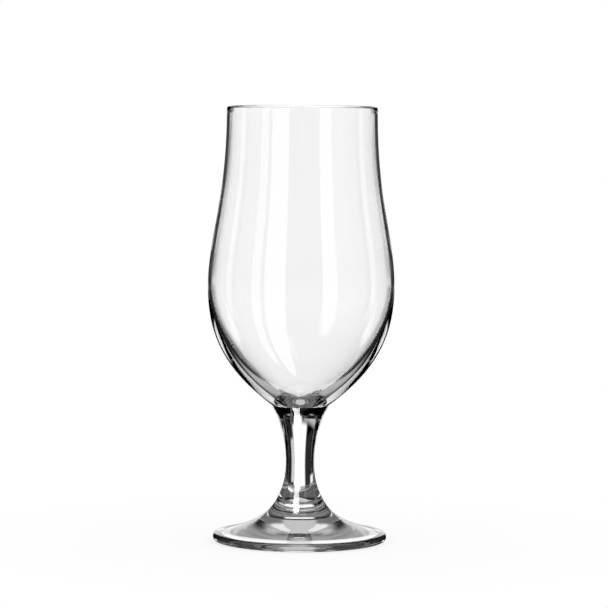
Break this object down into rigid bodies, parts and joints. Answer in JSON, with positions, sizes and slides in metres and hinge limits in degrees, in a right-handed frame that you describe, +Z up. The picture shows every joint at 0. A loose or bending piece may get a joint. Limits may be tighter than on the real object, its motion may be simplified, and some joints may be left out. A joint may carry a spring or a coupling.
{
  "type": "beer glass",
  "caption": "Stemmed tulip beer glass in clear glass, with a low belly, a nearly straight mouth, a short waisted stem and a wide round foot.",
  "frame": {"origin": "centre of the standing ring under the foot, on the table", "axes": "+Z up along the glass's axis of symmetry, from the foot to the mouth; +X and +Y are free, because the glass is round"},
  "size_m": [0.0814, 0.0814, 0.19],
  "materials": {
    "clear_glass": "clear soda-lime glass, fire-polished, smooth and glossy inside and out"
  },
  "bodies": {
    "root": {"bowl": "clear_glass", "stem": "clear_glass", "foot": "clear_glass"}
  },
  "joints": []
}
